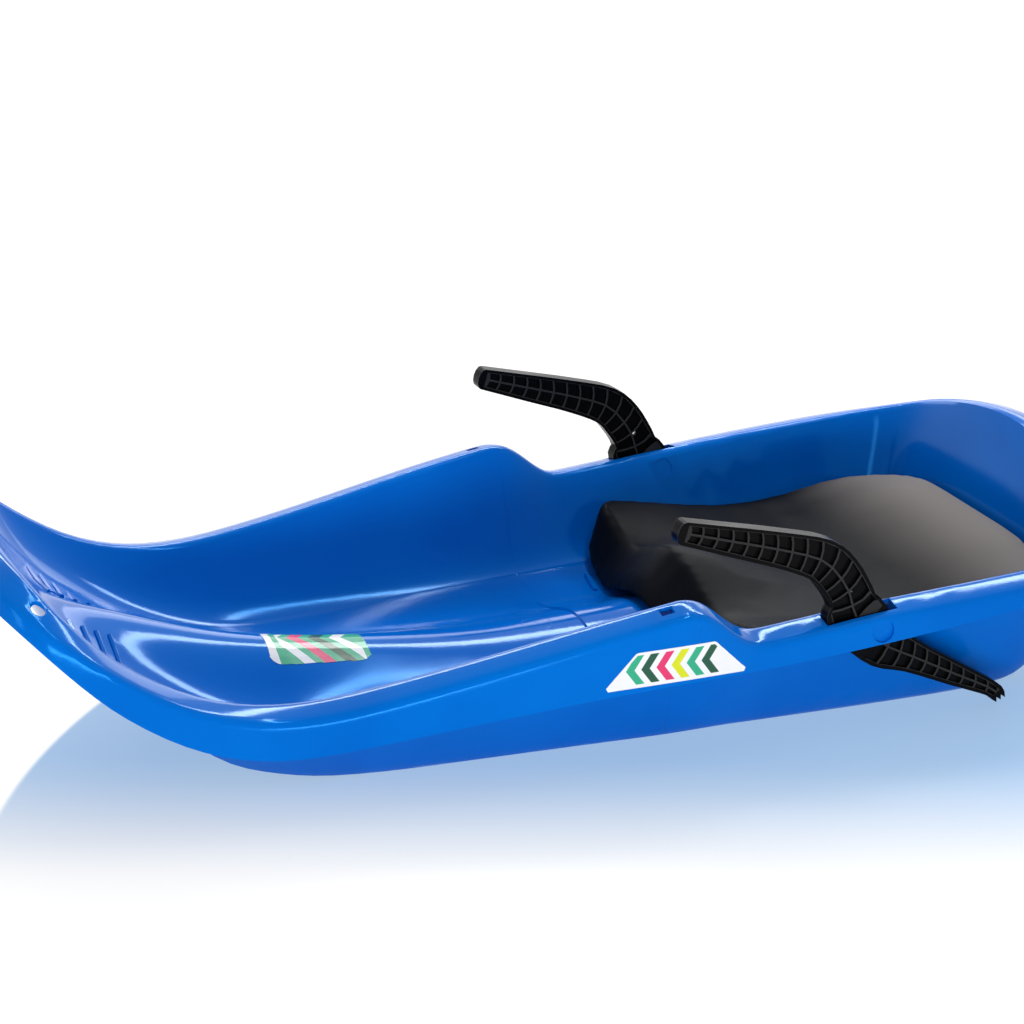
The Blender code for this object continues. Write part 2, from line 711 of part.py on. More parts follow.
def hull_cuts():
    """Slots, pin ways, rim windows, tow holes, dimples over the pivots, screw holes."""
    middle = slot_middle_y()
    reach = PIN_LENGTH / 2 + SEATING_GAP
    x, y = tow_hole_place()
    z = rim_side_z(x)
    window_y = half_width(RIM_WINDOW_X) + RIM_FLAT / 2
    window_z = rim_side_z(RIM_WINDOW_X)
    throat = BLOCK_THROAT / 2
    below = PIVOT_Z - BLOCK_DEPTH - 0.002
    meshes = [
        box_mesh("slot", (SLOT_REAR_X, middle - SLOT_WIDTH / 2, SLOT_RIM_Z - 3.4 * WALL),
                 (SLOT_FRONT_X, middle + SLOT_WIDTH / 2, SLOT_RIM_Z + 2.5 * WALL)),
        box_mesh("window",
                 (RIM_WINDOW_X - RIM_WINDOW_LENGTH / 2, window_y - RIM_WINDOW_WIDTH / 2,
                  window_z - 2.5 * WALL),
                 (RIM_WINDOW_X + RIM_WINDOW_LENGTH / 2, window_y + RIM_WINDOW_WIDTH / 2,
                  window_z + 2.5 * WALL)),
        rod_mesh("tow_hole", TOW_HOLE_RADIUS, (x, y, z - 4 * WALL), (x, y, z + 6 * WALL)),
    ]
    bore = rod_mesh("bore", PIN_RADIUS + PIN_CLEARANCE,
                    (PIVOT_X, middle - reach, PIVOT_Z), (PIVOT_X, middle + reach, PIVOT_Z))
    opening = box_mesh("throat", (PIVOT_X - throat, middle - reach + THROAT_MARGIN, below),
                       (PIVOT_X + throat, middle + reach - THROAT_MARGIN, PIVOT_Z))
    meshes.append(united("pin_way", bore, opening))
    wall = Vector((PIVOT_X, wall_y(PIVOT_X, PIVOT_Z), PIVOT_Z))
    lean = (wall_y(PIVOT_X, PIVOT_Z) - wall_y(PIVOT_X, FLOOR_Z)) / (PIVOT_Z - FLOOR_Z)
    square = Vector((0.0, -1.0, lean)).normalized()
    meshes.append(rod_mesh("wall_dimple", DIMPLE_RADIUS, wall - square * DIMPLE_DEPTH,
                           wall + square * 2 * WALL))
    skirt_y = half_width(PIVOT_X) + RIM_FLAT + SHOULDER_RADIUS
    meshes.append(rod_mesh("skirt_dimple", DIMPLE_RADIUS,
                           (PIVOT_X, skirt_y - DIMPLE_DEPTH, PIVOT_Z),
                           (PIVOT_X, skirt_y + 2 * WALL, PIVOT_Z)))
    for screw_x in (SCREW_FRONT_X, SCREW_REAR_X):
        meshes.append(rod_mesh("screw_hole", SCREW_RADIUS + PIN_CLEARANCE,
                               (screw_x, SCREW_Y, 0.0), (screw_x, SCREW_Y, FLOOR_Z + WALL), 16))
    return both_sides(join_meshes("hull_cuts", meshes))


def united(name, first, second):
    """Boolean union of two meshes, as one mesh."""
    scene = bpy.context.scene.collection
    a = bpy.data.objects.new(name, first)
    b = bpy.data.objects.new(name + "_added", second)
    scene.objects.link(a)
    scene.objects.link(b)
    boolean(a, b, "UNION")
    bpy.context.view_layer.update()
    evaluated = a.evaluated_get(bpy.context.evaluated_depsgraph_get())
    mesh = bpy.data.meshes.new_from_object(evaluated)
    bpy.data.objects.remove(a)
    bpy.data.objects.remove(b)
    bpy.data.meshes.remove(first)
    bpy.data.meshes.remove(second)
    return mesh


# Brake lever

# Middle line from the grip's end to the scraper: forward, up, half the depth
LEVER_LINE = (
    (0.1575, 0.0953, 0.0085),
    (0.1120, 0.0812, 0.0115),
    (0.0780, 0.0705, 0.0135),
    (0.0480, 0.0590, 0.0160),
    (0.0330, 0.0450, 0.0170),
    (0.0216, 0.0262, 0.0174),
    (0.0190, 0.0126, 0.0224),
    (0.0080, 0.0000, 0.0215),
    (-0.0080, -0.0165, 0.0180),
    (-0.0310, -0.0290, 0.0126),
    (-0.0680, -0.0492, 0.0092),
    (-0.1016, -0.0672, 0.0061),
    (-0.1075, -0.0738, 0.0059),
)
LINE_STEPS = 3


def lever_line():
    """The middle line in short steps: place, side direction, half depth, distance."""
    knots = [Vector(p) for p in LEVER_LINE]
    spots = []
    for i in range(len(knots) - 1):
        before = knots[max(0, i - 1)]
        after = knots[min(len(knots) - 1, i + 2)]
        a, b = knots[i], knots[i + 1]
        for k in range(LINE_STEPS):
            t = k / LINE_STEPS
            spots.append(0.5 * (2 * a + (b - before) * t
                                + (2 * before - 5 * a + 4 * b - after) * t ** 2
                                + (3 * a - before - 3 * b + after) * t ** 3))
    spots.append(knots[-1])
    line = []
    travelled = 0.0
    for i, spot in enumerate(spots):
        ahead = spots[min(i + 1, len(spots) - 1)]
        behind = spots[max(i - 1, 0)]
        along = Vector((ahead.x - behind.x, ahead.y - behind.y)).normalized()
        if i:
            travelled += (Vector((spot.x, spot.y)) - line[-1][0]).length
        line.append((Vector((spot.x, spot.y)), Vector((along.y, -along.x)), spot.z, travelled))
    return line


def on_lever(line, distance, share):
    """A point on the lever: share runs from -1 at the lower edge to 1 at the upper."""
    distance = min(max(distance, 0.0), line[-1][3] - 1e-6)
    for (p0, n0, h0, s0), (p1, n1, h1, s1) in zip(line, line[1:]):
        if distance <= s1:
            t = (distance - s0) / (s1 - s0)
            spot = p0.lerp(p1, t)
            side = n0.lerp(n1, t).normalized()
            return spot + side * (lerp(h0, h1, t) * share), lerp(h0, h1, t)
    return line[-1][0], line[-1][2]


def lever_outline(line):
    """Upper edge, three scraper teeth, lower edge, and a round end on the grip."""
    upper = [p + n * h for p, n, h, s in line]
    lower = [p - n * h for p, n, h, s in line]
    end, side, half, _ = line[-1]
    ahead = Vector((-side.y, side.x))
    teeth = []
    for i in range(TOOTH_COUNT):
        root = end + side * half * (1 - 2 * i / TOOTH_COUNT)
        teeth.append(root + ahead * TOOTH_LENGTH - side * half * 0.16)
        teeth.append(root + ahead * TOOTH_GULLET - side * half * 0.60)
    start, side, half, _ = line[0]
    back = Vector((side.y, -side.x))
    cap = []
    for degrees in (-60, -30, 0, 30, 60):
        angle = math.radians(degrees)
        cap.append(start + back * half * GRIP_CAP_SHARE * math.cos(angle) + side * half * math.sin(angle))
    return upper + teeth[:-1] + lower[::-1] + cap


def rib_point(line, distance, share):
    """A point on a rib that starts at a distance: bowed, and swept back towards the knee."""
    sweep = LEVER_RIB_SWEEP * smooth(0.0, LEVER_SWEEP_RIBS * LEVER_RIB_PITCH, distance)
    shift = LEVER_RIB_BOW * (1 - share * share) - sweep * share
    return on_lever(line, distance + shift, share)[0]


def lever_pockets(line):
    """Outlines of the pockets between the ribs, in two rows along the lever."""
    length = line[-1][3] - LEVER_RIB_BOW
    count = int(length / LEVER_RIB_PITCH)
    pitch = length / count
    outlines = []
    for i in range(count):
        start, end = i * pitch + LEVER_RIB / 2, (i + 1) * pitch - LEVER_RIB / 2
        if i == 0:
            start += LEVER_WALL
        if i == count - 1:
            end -= LEVER_WALL
        for row in (1, -1):
            outline = []
            for distance, shares in ((start, (0, 1, 2)), (end, (2, 1, 0))):
                _, half = on_lever(line, distance, 0.0)
                rim, spine = 1 - (LEVER_WALL + LEVER_LEDGE) / half, LEVER_RIB / 2 / half
                for k in shares:
                    outline.append(rib_point(line, distance, row * lerp(rim, spine, k / 2)))
            if clear_of_hub(outline):
                outlines.append(outline)
    return outlines


def rib_drop_outlines(line):
    """Where the ribs lie below the rim of the lever: before the hub and after it."""
    hub = min(line, key=lambda spot: spot[0].length)[3]
    spans = ((LEVER_WALL, hub - HUB_RADIUS), (hub + HUB_RADIUS, line[-1][3] - LEVER_WALL))
    outlines = []
    for start, end in spans:
        steps = max(2, round(1.25 * (end - start) / LEVER_RIB_PITCH))
        for_side = []
        for side in (1, -1):
            edge = []
            for k in range(steps + 1):
                distance = lerp(start, end, k / steps)
                _, half = on_lever(line, distance, 0.0)
                edge.append(on_lever(line, distance, side * (1 - LEVER_WALL / half))[0])
            for_side.append(edge)
        outlines.append(for_side[0] + for_side[1][::-1])
    return outlines


def clear_of_hub(outline):
    middle = sum(outline, Vector((0.0, 0.0))) / len(outline)
    corners = outline + [middle]
    corners += [a.lerp(b, 0.5) for a, b in zip(outline, outline[1:] + outline[:1])]
    return min(p.length for p in corners) > HUB_RADIUS


def make_lever(name, parts, tools, material, empty):
    """A webbed lever: ribs below its rim, pockets from both faces, its bore and a hole."""
    line = lever_line()
    half = LEVER_THICKNESS / 2
    web = LEVER_WEB / 2
    body = plate_mesh(name, [lever_outline(line)], -half, half)
    lever = link(name, body, parts, material)
    lever.parent = empty
    through = half + LEVER_WEB

    def cut(ending, meshes):
        tool = as_tool(link(name + ending, join_meshes(name + ending, meshes), tools))
        tool.parent = empty
        boolean(lever, tool, "DIFFERENCE")

    drops = rib_drop_outlines(line)
    rib_top = half - LEVER_RIB_DROP
    cut("_rib_tops", [plate_mesh("rib_tops", drops, rib_top, through),
                      plate_mesh("rib_tops", drops, -through, -rib_top)])
    pockets = lever_pockets(line)
    cut("_pockets", [plate_mesh("pockets", pockets, web, through),
                     plate_mesh("pockets", pockets, -through, -web),
                     rod_mesh("bore", PIN_RADIUS + PIN_CLEARANCE, (0.0, -through, 0.0),
                              (0.0, through, 0.0))])
    cut("_hole", [rod_mesh("hole", SIGHT_HOLE_RADIUS, (SIGHT_HOLE_X, -through, SIGHT_HOLE_Z),
                           (SIGHT_HOLE_X, through, SIGHT_HOLE_Z), 12)])
    return lever


# Seat


def seat_top(x, y):
    """Saddle: a pommel and two thigh hollows in front, a dish, then a low back."""
    across = min(1.0, abs(y) / SEAT_HALF_WIDTH)
    if across < SEAT_THIGH_SHARE:
        front = lerp(SEAT_POMMEL_Z, SEAT_THIGH_Z, smooth(0.0, SEAT_THIGH_SHARE, across))
    else:
        front = lerp(SEAT_THIGH_Z, SEAT_CORNER_Z, smooth(SEAT_THIGH_SHARE, 1.0, across))
    dish = lerp(SEAT_MIDDLE_Z, SEAT_EDGE_Z, across ** 2)
    back = lerp(SEAT_BACK_Z, SEAT_BACK_CORNER_Z, smooth(0.35, 1.0, across))
    run = (SEAT_FRONT_X - x) / (SEAT_FRONT_X - SEAT_REAR_X)
    nearness = 1 - smooth(-0.08, 0.52, run)
    rearness = smooth(0.52, 1.0, run)
    return dish + (front - dish) * nearness + (back - dish) * rearness


def seat_bottom(x, y):
    """The floor under the seat, with room over the end of the spine."""
    beside = smooth(0.85 * SEAT_NOTCH_HALF_WIDTH, SEAT_NOTCH_HALF_WIDTH, abs(y))
    room = SEAT_NOTCH_GAP * (1 - beside) * smooth(SPINE_TAIL_X - 0.030, SPINE_TAIL_X - 0.005, x)
    return floor_z(x, y) + SEATING_GAP + room


def seat_outline(front_x, rear_x, width, front_corner, rear_corner, front_bow):
    """Left half of a plan outline of the seat, from its rear to its front."""
    points = []
    for i in range(4):
        points.append((rear_x, (width - rear_corner) * i / 4))
    for i in range(6):
        angle = lerp(math.pi, math.pi / 2, i / 5)
        points.append((rear_x + rear_corner + rear_corner * math.cos(angle),
                       width - rear_corner + rear_corner * math.sin(angle)))
    start, end = rear_x + rear_corner, front_x - front_bow - front_corner
    for i in range(1, 7):
        points.append((lerp(start, end, i / 6), width))
    for i in range(1, 5):
        angle = lerp(math.pi / 2, 0.0, i / 4)
        points.append((end + front_corner * math.cos(angle),
                       width - front_corner + front_corner * math.sin(angle)))
    flat = width - front_corner
    for i in (6, 5, 4, 3, 2, 1, 0):
        y = flat * i / 7
        points.append((front_x - front_bow * (y / flat) ** 2, y))
    return points


def make_seat(parts, tools, material):
    """One moulded pad: top, rolled edge, sides and an underside that fits the floor."""
    round_ = SEAT_EDGE_ROUND
    crown = seat_outline(SEAT_FRONT_X - round_, SEAT_REAR_X + round_, SEAT_HALF_WIDTH - round_,
                         SEAT_FRONT_CORNER, SEAT_REAR_CORNER, SEAT_FRONT_BOW)
    rim = seat_outline(SEAT_FRONT_X, SEAT_REAR_X, SEAT_HALF_WIDTH,
                       SEAT_FRONT_CORNER + round_, SEAT_REAR_CORNER + round_, SEAT_FRONT_BOW)
    waist = seat_outline(lerp(SEAT_FRONT_X, SEAT_TOE_X, 0.7), lerp(SEAT_REAR_X, SEAT_HEEL_X, 0.55),
                         SEAT_WAIST_HALF_WIDTH, SEAT_FRONT_CORNER, SEAT_REAR_CORNER - 0.01,
                         SEAT_WAIST_BOW)
    foot = seat_outline(SEAT_TOE_X, SEAT_HEEL_X, SEAT_FOOT_HALF_WIDTH,
                        SEAT_FRONT_CORNER, SEAT_REAR_CORNER - 0.02, SEAT_TOE_BOW)
    bm = bmesh.new()
    rows = []
    count = len(crown)
    for i in range(count):
        if i < 9:
            middle = SEAT_REAR_X + lerp(*SEAT_REAR_FAN, i / 9)
        elif i > count - 12:
            middle = SEAT_FRONT_X - lerp(*SEAT_FRONT_FAN, (count - 1 - i) / 11)
        else:
            middle = lerp(SEAT_REAR_X + SEAT_REAR_FAN[1], SEAT_FRONT_X - SEAT_FRONT_FAN[1],
                          (i - 9) / (count - 21))
        row = []
        for share in (0.0, 0.2, 0.4, 0.6, 0.8, 1.0):
            x, y = lerp(middle, crown[i][0], share), lerp(0.0, crown[i][1], share)
            row.append(Vector((x, y, seat_top(x, y))))
        x, y = rim[i]
        row.append(Vector((x, y, seat_top(x, y) - round_)))
        x, y = waist[i]
        row.append(Vector((x, y, seat_bottom(x, y) + SEAT_WAIST_HEIGHT)))
        x, y = foot[i]
        row.append(Vector((x, y, seat_bottom(x, y))))
        for share in (0.3, 0.65, 1.0):
            px, py = lerp(x, middle, share), lerp(y, 0.0, share)
            row.append(Vector((px, py, seat_bottom(px, py))))
        rows.append([bm.verts.new(p) for p in row])
    grid_faces(bm, rows, flip=False)
    mesh = bpy.data.meshes.new("seat")
    bm.to_mesh(mesh)
    bm.free()
    shade(mesh, 50)
    seat = link("seat", mesh, parts, material)
    mirrored(seat)
    holes = []
    for x in (SCREW_FRONT_X, SCREW_REAR_X):
        holes.append(rod_mesh("hole", SCREW_RADIUS + PIN_CLEARANCE, (x, SCREW_Y, FLOOR_Z - 0.004),
                              (x, SCREW_Y, FLOOR_Z - WALL + SCREW_LENGTH + 0.001), 16))
    cuts = as_tool(link("seat_cuts", both_sides(join_meshes("seat_cuts", holes)), tools))
    boolean(seat, cuts, "DIFFERENCE")
    return seat


def screw_places():
    """Name endings and places of the four screws."""
    return [(end + "_" + side, (x, y))
            for end, x in (("front", SCREW_FRONT_X), ("rear", SCREW_REAR_X))
            for side, y in (("left", SCREW_Y), ("right", -SCREW_Y))]


def make_screws(parts, material):
    """Four pan-head screws under the floor."""
    under = FLOOR_Z - WALL - WASHER_THICKNESS - 2 * SEATING_GAP
    profile = ((0.0, under - SCREW_HEAD_HEIGHT), (0.6 * SCREW_HEAD_RADIUS, under - SCREW_HEAD_HEIGHT),
               (SCREW_HEAD_RADIUS, under - 0.5 * SCREW_HEAD_HEIGHT), (SCREW_HEAD_RADIUS, under),
               (SCREW_RADIUS, under), (SCREW_RADIUS, under + SCREW_LENGTH - 0.003),
               (0.0, under + SCREW_LENGTH))
    for ending, place in screw_places():
        name = "seat_screw_" + ending
        screw = link(name, turned_mesh(name, profile[::-1], 12), parts, material)
        screw.location = (*place, 0.0)


def make_washers(parts, material):
    top = FLOOR_Z - WALL - SEATING_GAP
    low = top - WASHER_THICKNESS
    hole = SCREW_RADIUS + PIN_CLEARANCE
    profile = ((hole, top), (WASHER_RADIUS, top), (WASHER_RADIUS, low), (hole, low), (hole, top))
    for ending, place in screw_places():
        name = "seat_washer_" + ending
        washer = link(name, turned_mesh(name, profile, 12), parts, material)
        washer.location = (*place, 0.0)


def turned_mesh(name, profile, steps):
    """A profile of (radius, height), outer side running down, turned by a Screw modifier."""
    mesh = bpy.data.meshes.new(name)
    points = [(radius, 0.0, height) for radius, height in profile]
    mesh.from_pydata(points, [(i, i + 1) for i in range(len(points) - 1)], [])
    holder = bpy.data.objects.new(name, mesh)
    bpy.context.scene.collection.objects.link(holder)
    screw = holder.modifiers.new("Turn", "SCREW")
    screw.steps = steps
    screw.render_steps = steps
    screw.use_merge_vertices = True
    screw.merge_threshold = 0.00002
    bpy.context.view_layer.update()
    evaluated = holder.evaluated_get(bpy.context.evaluated_depsgraph_get())
    turned = bpy.data.meshes.new_from_object(evaluated)
    bpy.data.objects.remove(holder)
    bm = bmesh.new()
    bm.from_mesh(turned)
    bmesh.ops.remove_doubles(bm, verts=bm.verts, dist=0.00002)
    bmesh.ops.recalc_face_normals(bm, faces=bm.faces)
    bm.to_mesh(turned)
    bm.free()
    shade(turned, 40)
    return turned


def make_brake(side_name, sign, parts, tools, materials):
    """Lever and pin under an empty on the pivot."""
    pivot = bpy.data.objects.new("brake_pivot_" + side_name, None)
    parts.objects.link(pivot)
    pivot.location = (PIVOT_X, sign * slot_middle_y(), PIVOT_Z)
    make_lever("brake_lever_" + side_name, parts, tools, materials["black"], pivot)
    half = PIN_LENGTH / 2
    pin = link("brake_pin_" + side_name,
               rod_mesh("brake_pin", PIN_RADIUS, (0.0, -half, 0.0), (0.0, half, 0.0)),
               parts, materials["steel"])
    shade(pin.data, 40)
    pin.parent = pivot


def main():
    for thing in list(bpy.data.objects):
        bpy.data.objects.remove(thing)
    parts = bpy.data.collections.new("plastic_bobsled")
    tools = bpy.data.collections.new("cutters")
    bpy.context.scene.collection.children.link(parts)
    bpy.context.scene.collection.children.link(tools)
    materials = {
        "blue": make_material("hull_blue_plastic", BLUE, 0.28, 0.0),
        "black": make_material("lever_black_plastic", BLACK, 0.38, 0.0),
        "grey": make_material("seat_soft_grey", SEAT_GREY, 0.62, 0.0),
        "steel": make_material("zinc_plated_steel", STEEL, 0.35, 1.0),
    }
    make_hull(parts, tools, materials["blue"])
    make_seat(parts, tools, materials["grey"])
    make_brake("left", 1, parts, tools, materials)
    make_brake("right", -1, parts, tools, materials)
    make_screws(parts, materials["steel"])
    make_washers(parts, materials["steel"])


main()
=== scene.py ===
import math

import bpy
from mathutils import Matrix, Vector


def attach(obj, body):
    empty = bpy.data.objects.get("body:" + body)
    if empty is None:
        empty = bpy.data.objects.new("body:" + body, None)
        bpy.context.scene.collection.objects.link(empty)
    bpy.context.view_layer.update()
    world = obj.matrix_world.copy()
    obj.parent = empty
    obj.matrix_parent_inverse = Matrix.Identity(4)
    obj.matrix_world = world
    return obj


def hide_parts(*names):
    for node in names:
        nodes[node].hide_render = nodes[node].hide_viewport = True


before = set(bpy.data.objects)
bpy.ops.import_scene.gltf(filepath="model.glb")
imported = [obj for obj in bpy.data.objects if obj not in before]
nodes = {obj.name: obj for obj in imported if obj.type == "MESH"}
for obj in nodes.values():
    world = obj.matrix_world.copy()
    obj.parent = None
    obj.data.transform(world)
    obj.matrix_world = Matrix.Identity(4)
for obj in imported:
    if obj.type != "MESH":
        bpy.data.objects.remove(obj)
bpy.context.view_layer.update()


# The tub. One injection moulding of glossy blue polyethylene with thin walls. Its skin is
# slightly wavy from cooling, a mould parting line crosses it at the step of the rim, the
# gate has left a round mark on the spine, and the runners are rubbed paler by use.

weld_distance = 0.00001
millimetre = 0.001


def pick_only(thing):
    """Selects one object and nothing else, and makes it the active one."""
    bpy.ops.object.select_all(action="DESELECT")
    thing.select_set(True)
    bpy.context.view_layer.objects.active = thing


def welded_copy(node_name, name, flatness=0.0):
    """A copy of a CAD node as one welded surface; faces within flatness degrees are joined."""
    copy = bpy.data.objects.new(name, nodes[node_name].data.copy())
    bpy.context.scene.collection.objects.link(copy)
    pick_only(copy)
    bpy.ops.mesh.customdata_custom_splitnormals_clear()
    bpy.ops.object.mode_set(mode="EDIT")
    bpy.ops.mesh.select_all(action="SELECT")
    bpy.ops.mesh.remove_doubles(threshold=weld_distance)
    if flatness:
        bpy.ops.mesh.dissolve_limited(angle_limit=math.radians(flatness))
    bpy.ops.object.mode_set(mode="OBJECT")
    return copy


def subdivide(thing):
    """Splits every face once and rounds the surface between them."""
    finer = thing.modifiers.new("Finer", "SUBSURF")
    finer.levels = 1
    finer.render_levels = 1
    bpy.ops.object.modifier_apply(modifier="Finer")


def smooth_below(degrees):
    """Smooths the active object where its faces meet at less than an angle."""
    bpy.ops.object.shade_smooth_by_angle(angle=math.radians(degrees))


class Wire:
    """A socket in a material: sums on it add Math nodes, and node() adds any other."""

    def __init__(self, tree, socket=None):
        self.tree = tree
        self.socket = socket

    def node(self, kind, settings, values, output=0):
        made = self.tree.nodes.new("ShaderNode" + kind)
        for name, setting in settings.items():
            setattr(made, name, setting)
        for name, value in values.items():
            if isinstance(value, Wire):
                self.tree.links.new(value.socket, made.inputs[name])
            else:
                made.inputs[name].default_value = value
        return Wire(self.tree, made.outputs[output])

    def maths(self, operation, first, second=0.0):
        return self.node("Math", {"operation": operation}, {0: first, 1: second})

    def __add__(self, other):
        return self.maths("ADD", self, other)

    def __radd__(self, other):
        return self.maths("ADD", other, self)

    def __sub__(self, other):
        return self.maths("SUBTRACT", self, other)

    def __rsub__(self, other):
        return self.maths("SUBTRACT", other, self)

    def __mul__(self, other):
        return self.maths("MULTIPLY", self, other)

    def __rmul__(self, other):
        return self.maths("MULTIPLY", other, self)

    def __truediv__(self, other):
        return self.maths("DIVIDE", self, other)

    def __rtruediv__(self, other):
        return self.maths("DIVIDE", other, self)

    def __pow__(self, other):
        return self.maths("POWER", self, other)

    def __rpow__(self, other):
        return self.maths("POWER", other, self)

    def __mod__(self, other):
        return self.maths("FLOORED_MODULO", self, other)

    def __rmod__(self, other):
        return self.maths("FLOORED_MODULO", other, self)

    def __abs__(self):
        return self.maths("ABSOLUTE", self)

    def __floor__(self):
        return self.maths("FLOOR", self)

    def lesser(self, other):
        return self.maths("MINIMUM", self, other)

    def fades(self, start, end):
        """0 at start and 1 at end, with soft ends; start may be the greater."""
        return self.node("MapRange", {"interpolation_type": "SMOOTHSTEP"},
                         {"Value": self, "From Min": start, "From Max": end})

    def near(self, middle, half, soft):
        """1 within half of the middle, 0 beyond a soft edge."""
        return abs(self - middle).fades(half + soft, half)

    def between(self, first, second):
        """One colour into another as this factor rises from 0 to 1."""
        return self.node("Mix", {"data_type": "RGBA"}, {0: self, 6: first, 7: second}, output=2)

    def noise(self, scale, detail, stretch=(1.0, 1.0, 1.0)):
        """Noise over a place, finer along the axes that are stretched more."""
        spot = self.node("Mapping", {}, {"Vector": self, "Scale": stretch})
        return self.node("TexNoise", {}, {"Vector": spot, "Scale": scale, "Detail": detail})

    def joins(self, shader, name):
        self.tree.links.new(self.socket, shader.inputs[name])

    def bumps(self, shader):
        """A height in millimetres shapes the surface."""
        self.node("Bump", {}, {"Height": self, "Strength": 1.0,
                               "Distance": millimetre}).joins(shader, "Normal")


def new_finish(name, **sockets):
    """A material, its shader, and the place on the object, whole and as x, y and z."""
    finish = bpy.data.materials.new(name)
    finish.use_nodes = True
    tree = finish.node_tree
    shader = tree.nodes["Principled BSDF"]
    for socket, value in sockets.items():
        shader.inputs[socket.replace("_", " ")].default_value = value
    place = Wire(tree).node("TexCoord", {}, {}, output=3)
    x, y, z = (place.node("SeparateXYZ", {}, {0: place}, output=i) for i in range(3))
    return finish, shader, place, x, y, z


def dress(thing, finish):
    thing.data.materials.clear()
    thing.data.materials.append(finish)


blue_deep = (0.0, 0.120, 0.55, 1.0)
blue_bright = (0.0, 0.144, 0.61, 1.0)
blue_rubbed = (0.10, 0.26, 0.66, 1.0)
blue_sheen = (0.05, 0.45, 1.0, 1.0)
tub_dull, tub_patchy, rubbed_dull = 0.08, 0.05, 0.25
rubbed_from_z, rubbed_to_z = 0.003, 0.0005
along_the_sled = (0.25, 6.0, 6.0)
parting_x = -0.0465
parting_half, parting_soft = 0.0002, 0.0004
parting_inner_y, parting_outer_y = 0.085, 0.095
gate_x = -0.0065
gate_radius = 0.0115
gate_half, gate_soft = 0.0003, 0.0004
gate_stub_outer, gate_stub_inner = 0.0020, 0.0012
crest_from_z, crest_to_z = 0.030, 0.034
wave_mm, pebble_mm = 0.25, 0.012
gate_mm, parting_mm, scratch_mm = 0.12, 0.14, 0.10

tub_plastic, shader, place, x, y, z = new_finish(
    "tub_plastic", IOR=1.36, Specular_IOR_Level=0.5, Specular_Tint=blue_sheen)
mottle = place.noise(scale=7.0, detail=3.0)
sheen_patch = place.noise(scale=26.0, detail=3.0)
scratches = place.noise(scale=60.0, detail=4.0, stretch=along_the_sled)
near_ground = z.fades(rubbed_from_z, rubbed_to_z)
rubbed = scratches.fades(start=0.50, end=0.66) * near_ground
colour = mottle.fades(start=0.30, end=0.70).between(blue_deep, blue_bright)
rubbed.between(colour, blue_rubbed).joins(shader, "Base Color")
(tub_dull + sheen_patch * tub_patchy + rubbed * rubbed_dull).joins(shader, "Roughness")
from_gate = ((x - gate_x) * (x - gate_x) + y * y) ** 0.5
gate_mark = (from_gate.near(gate_radius, gate_half, gate_soft)
             + from_gate.fades(gate_stub_outer, gate_stub_inner))
parting = (x.near(parting_x, parting_half, parting_soft)
           * abs(y).fades(parting_inner_y, parting_outer_y))
waves = place.noise(scale=9.0, detail=1.0)
pebble = place.noise(scale=420.0, detail=1.0)
height = (waves * wave_mm + pebble * pebble_mm
          + gate_mark * z.fades(crest_from_z, crest_to_z) * gate_mm
          - parting * parting_mm - scratches * near_ground * scratch_mm)
height.bumps(shader)

# The tub's faces are paired and split once, so that its curves are round. Its edges stay
# crisp, and the stretches by the levers stay as cut, so that the levers clear them.
lever_slot_x = -0.194
lever_slot_reach = 0.075
lever_slot_inner_y = 0.15
pair_angle, pair_skew = 30, 60
crisp_angle = 30


def by_the_levers(spot):
    """True in the two stretches of rim and wall that the lever slots cut."""
    return (abs(spot.x - lever_slot_x) < lever_slot_reach
            and abs(spot.y) > lever_slot_inner_y)


tub = welded_copy("hull", "tub")
pick_only(tub)
tools = bpy.context.tool_settings
tools.mesh_select_mode = (False, False, True)
for face in tub.data.polygons:
    face.select = not by_the_levers(face.center)
bpy.ops.object.mode_set(mode="EDIT")
bpy.ops.mesh.tris_convert_to_quads(face_threshold=math.radians(pair_angle),
                                   shape_threshold=math.radians(pair_skew))
tools.mesh_select_mode = (False, True, False)
bpy.ops.mesh.select_all(action="DESELECT")
bpy.ops.mesh.edges_select_sharp(sharpness=math.radians(crisp_angle))
bpy.ops.transform.edge_crease(value=1.0)
bpy.ops.object.mode_set(mode="OBJECT")
tools.mesh_select_mode = (True, False, False)
corners = tub.data.vertices
creases = tub.data.attributes["crease_edge"].data
for edge in tub.data.edges:
    first, second = (corners[i].co for i in edge.vertices)
    if by_the_levers((first + second) / 2):
        creases[edge.index].value = 1.0
subdivide(tub)
smooth_below(degrees=38)
dress(tub, tub_plastic)
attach(tub, "sled")
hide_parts("hull")


# The printed films. Thin glossy vinyl, cut to shape and stuck on: one on each skirt under
# the step of the rim, and one on the crest of the spine. Each has a white edge round
# coloured arrows that point to the nose.

film_white = (0.84, 0.86, 0.88, 1.0)
film_teal = (0.021, 0.402, 0.223, 1.0)
film_yellow = (0.68, 0.72, 0.007, 1.0)
film_pink = (0.753, 0.032, 0.156, 1.0)
film_green = (0.008, 0.085, 0.045, 1.0)
film_gloss = 0.4
film_dull, film_patchy = 0.16, 0.12
film_thickness = 0.00015
film_lift = 0.0001
film_columns, film_rows = 48, 20
arrow_half, arrow_soft = 0.27, 0.02
print_soft = 0.0002
diagonal = 0.7071


